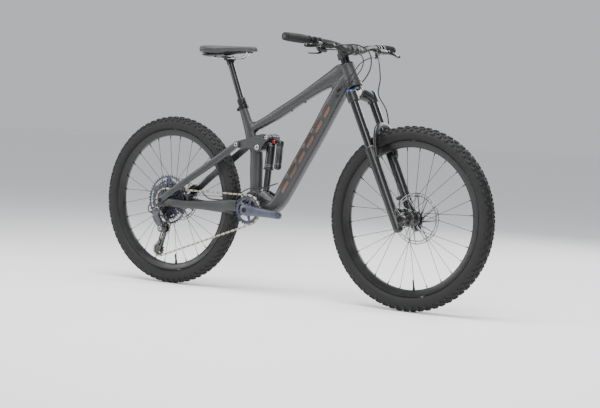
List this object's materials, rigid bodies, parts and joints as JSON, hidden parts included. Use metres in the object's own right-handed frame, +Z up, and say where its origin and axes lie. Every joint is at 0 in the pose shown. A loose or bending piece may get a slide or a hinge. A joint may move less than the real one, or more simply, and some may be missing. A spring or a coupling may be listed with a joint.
{
  "type": "mountain bike",
  "caption": "Full-suspension trail bike with a straddling rocker link, telescopic fork, dropper seatpost, disc brakes and knobbly tyres.",
  "frame": {"origin": "on the ground at mid-wheelbase, in the plane of the wheels", "axes": "+X towards the front wheel, +Y to the rider's left, +Z up"},
  "size_m": [1.88, 0.7838, 1.0364],
  "materials": {
    "frame_carbon": "matt charcoal clear coat over woven fibre",
    "black_anodised": "fine bead-blasted black anodising",
    "fork_black": "satin black",
    "steel": "brushed",
    "spoke_black": "satin black",
    "chain_steel": "polished plates",
    "crank_grey": "satin blue-grey anodising",
    "derailleur_black": "moulded composite and forged black alloy",
    "tyre": "blocky moulded tread",
    "rubber_black": "soft matt",
    "saddle_cover": "matt synthetic cover"
  },
  "bodies": {
    "main_frame": {"head_tube": "frame_carbon", "top_tube": "frame_carbon", "down_tube": "frame_carbon", "seat_tube": "frame_carbon", "bottom_bracket_shell": "frame_carbon", "shock_mount": "frame_carbon", "dropper_outer": "black_anodised", "drive_chain": "chain_steel", "rear_brake_hose": "rubber_black", "shift_housing": "rubber_black", "dropper_housing": "rubber_black", "rear_brake_hose_lower": "rubber_black"},
    "chainstay": {"chainstay_left": "frame_carbon", "chainstay_right": "frame_carbon", "chainstay_yoke": "frame_carbon", "rear_axle": "black_anodised", "rear_caliper": "black_anodised", "derailleur_body": "derailleur_black"},
    "derailleur_cage": {"derailleur_cage": "derailleur_black"},
    "upper_pulley": {"upper_pulley": "derailleur_black"},
    "lower_pulley": {"lower_pulley": "derailleur_black"},
    "seatstay": {"seatstay_left": "frame_carbon", "seatstay_right": "frame_carbon"},
    "rocker": {"rocker_left": "black_anodised", "rocker_right": "black_anodised", "rocker_axle": "steel"},
    "shock_shaft": {"shock_shaft": "fork_black"},
    "shock_body": {"shock_body": "black_anodised"},
    "rear_wheel": {"rear_tyre": "tyre", "rear_rim": "black_anodised", "rear_hub_and_spokes": "spoke_black", "rear_rotor": "steel"},
    "cassette": {"cassette": "crank_grey"},
    "crank": {"crank_arm_right": "crank_grey", "crank_arm_left": "crank_grey", "chainring": "crank_grey"},
    "seatpost": {"seatpost_stanchion": "fork_black", "saddle_rails": "black_anodised", "saddle": "saddle_cover"},
    "steering": {"fork_crown_and_stanchions": "fork_black", "stem": "black_anodised", "handlebar": "black_anodised", "grip_left": "rubber_black", "grip_right": "rubber_black", "brake_body_left": "black_anodised", "brake_body_right": "black_anodised", "shifter_body": "derailleur_black", "dropper_remote": "black_anodised", "front_brake_hose": "rubber_black"},
    "brake_lever_left": {"brake_lever_left": "black_anodised"},
    "brake_lever_right": {"brake_lever_right": "black_anodised"},
    "shift_paddle": {"shift_paddle": "black_anodised"},
    "dropper_lever": {"dropper_lever": "black_anodised"},
    "fork_lowers": {"fork_lowers": "fork_black", "front_caliper": "black_anodised", "front_axle": "black_anodised"},
    "front_wheel": {"front_tyre": "tyre", "front_rim": "black_anodised", "front_hub_and_spokes": "spoke_black", "front_rotor": "steel"}
  },
  "joints": [
    {"name": "steering", "type": "hinge", "parent": "main_frame", "child": "steering", "pos_m": [0.2831, 0, 0.89832], "axis": [-0.4226, 0, 0.9063], "range_deg": [-58, 58], "deforming": ["rear_brake_hose", "shift_housing", "dropper_housing"]},
    {"name": "fork_travel", "type": "slide", "parent": "steering", "child": "fork_lowers", "axis": [-0.4226, 0, 0.9063], "range_m": [0, 0.16], "stiffness_N_per_m": 8000, "springref_m": -0.02, "deforming": ["front_brake_hose"]},
    {"name": "front_wheel_spin", "type": "hinge", "parent": "fork_lowers", "child": "front_wheel", "pos_m": [0.585, 0, 0.355], "axis": [0, 1, 0], "continuous": true},
    {"name": "suspension", "type": "hinge", "parent": "main_frame", "child": "chainstay", "pos_m": [-0.148, 0, 0.402], "axis": [0, 1, 0], "range_deg": [0, 19.7], "stiffness_Nm_per_rad": 1300, "springref_deg": -3.44, "deforming": ["drive_chain", "rear_brake_hose_lower"]},
    {"name": "rocker_pivot", "type": "hinge", "parent": "main_frame", "child": "rocker", "pos_m": [-0.124, 0, 0.597], "axis": [0, 1, 0], "range_deg": [0, 56]},
    {"name": "seatstay_pivot", "type": "hinge", "parent": "chainstay", "child": "seatstay", "pos_m": [-0.585, 0, 0.355], "axis": [0, 1, 0], "range_deg": [-10, 0]},
    {"name": "shock_swivel", "type": "hinge", "parent": "main_frame", "child": "shock_shaft", "pos_m": [-0.099, 0, 0.41], "axis": [0, 1, 0], "range_deg": [0, 7.6]},
    {"name": "shock_travel", "type": "slide", "parent": "shock_shaft", "child": "shock_body", "axis": [0.0827, 0, 0.9966], "range_m": [-0.052, 0]},
    {"name": "rear_wheel_spin", "type": "hinge", "parent": "chainstay", "child": "rear_wheel", "pos_m": [-0.585, 0, 0.355], "axis": [0, 1, 0], "continuous": true},
    {"name": "cassette_spin", "type": "hinge", "parent": "chainstay", "child": "cassette", "pos_m": [-0.585, 0, 0.355], "axis": [0, 1, 0], "continuous": true},
    {"name": "crank_spin", "type": "hinge", "parent": "main_frame", "child": "crank", "pos_m": [-0.152, 0, 0.341], "axis": [0, 1, 0], "continuous": true},
    {"name": "derailleur_cage_pivot", "type": "hinge", "parent": "chainstay", "child": "derailleur_cage", "pos_m": [-0.582, 0, 0.235], "axis": [0, 1, 0], "range_deg": [-35, 20], "deforming": ["drive_chain"]},
    {"name": "upper_pulley_spin", "type": "hinge", "parent": "derailleur_cage", "child": "upper_pulley", "pos_m": [-0.582, 0, 0.235], "axis": [0, 1, 0], "continuous": true},
    {"name": "lower_pulley_spin", "type": "hinge", "parent": "derailleur_cage", "child": "lower_pulley", "pos_m": [-0.611, 0, 0.143], "axis": [0, 1, 0], "continuous": true},
    {"name": "dropper_travel", "type": "slide", "parent": "main_frame", "child": "seatpost", "axis": [-0.3827, 0, 0.9239], "range_m": [-0.15, 0], "stiffness_N_per_m": 300, "springref_m": 0.2},
    {"name": "brake_lever_left_pivot", "type": "hinge", "parent": "steering", "child": "brake_lever_left", "pos_m": [0.30253, 0.252, 1.00101], "axis": [0.4699, 0.0586, 0.8808], "range_deg": [0, 14], "stiffness_Nm_per_rad": 2, "springref_deg": -8.59},
    {"name": "brake_lever_right_pivot", "type": "hinge", "parent": "steering", "child": "brake_lever_right", "pos_m": [0.30253, -0.252, 1.00101], "axis": [-0.4699, 0.0586, -0.8808], "range_deg": [0, 14], "stiffness_Nm_per_rad": 2, "springref_deg": -8.59},
    {"name": "shift_paddle_pivot", "type": "hinge", "parent": "steering", "child": "shift_paddle", "pos_m": [0.27271, -0.206, 0.97168], "axis": [0, 0, 1], "range_deg": [0, 20], "stiffness_Nm_per_rad": 0.5, "springref_deg": -11.46},
    {"name": "dropper_lever_pivot", "type": "hinge", "parent": "steering", "child": "dropper_lever", "pos_m": [0.27271, 0.206, 0.97668], "axis": [0, 0, -1], "range_deg": [0, 18], "stiffness_Nm_per_rad": 0.5, "springref_deg": -11.46}
  ],
  "couplings": [
    {"joint": "rocker_pivot", "follows": "suspension", "ratio": 2.828},
    {"joint": "seatstay_pivot", "follows": "suspension", "ratio": -0.4948},
    {"joint": "shock_swivel", "follows": "suspension", "ratio": 0.3805},
    {"joint": "shock_travel", "follows": "suspension", "m_per_rad": -0.14643},
    {"joint": "cassette_spin", "follows": "crank_spin", "ratio": 1.25},
    {"joint": "upper_pulley_spin", "follows": "crank_spin", "ratio": -2.5},
    {"joint": "lower_pulley_spin", "follows": "crank_spin", "ratio": 2.1429}
  ]
}
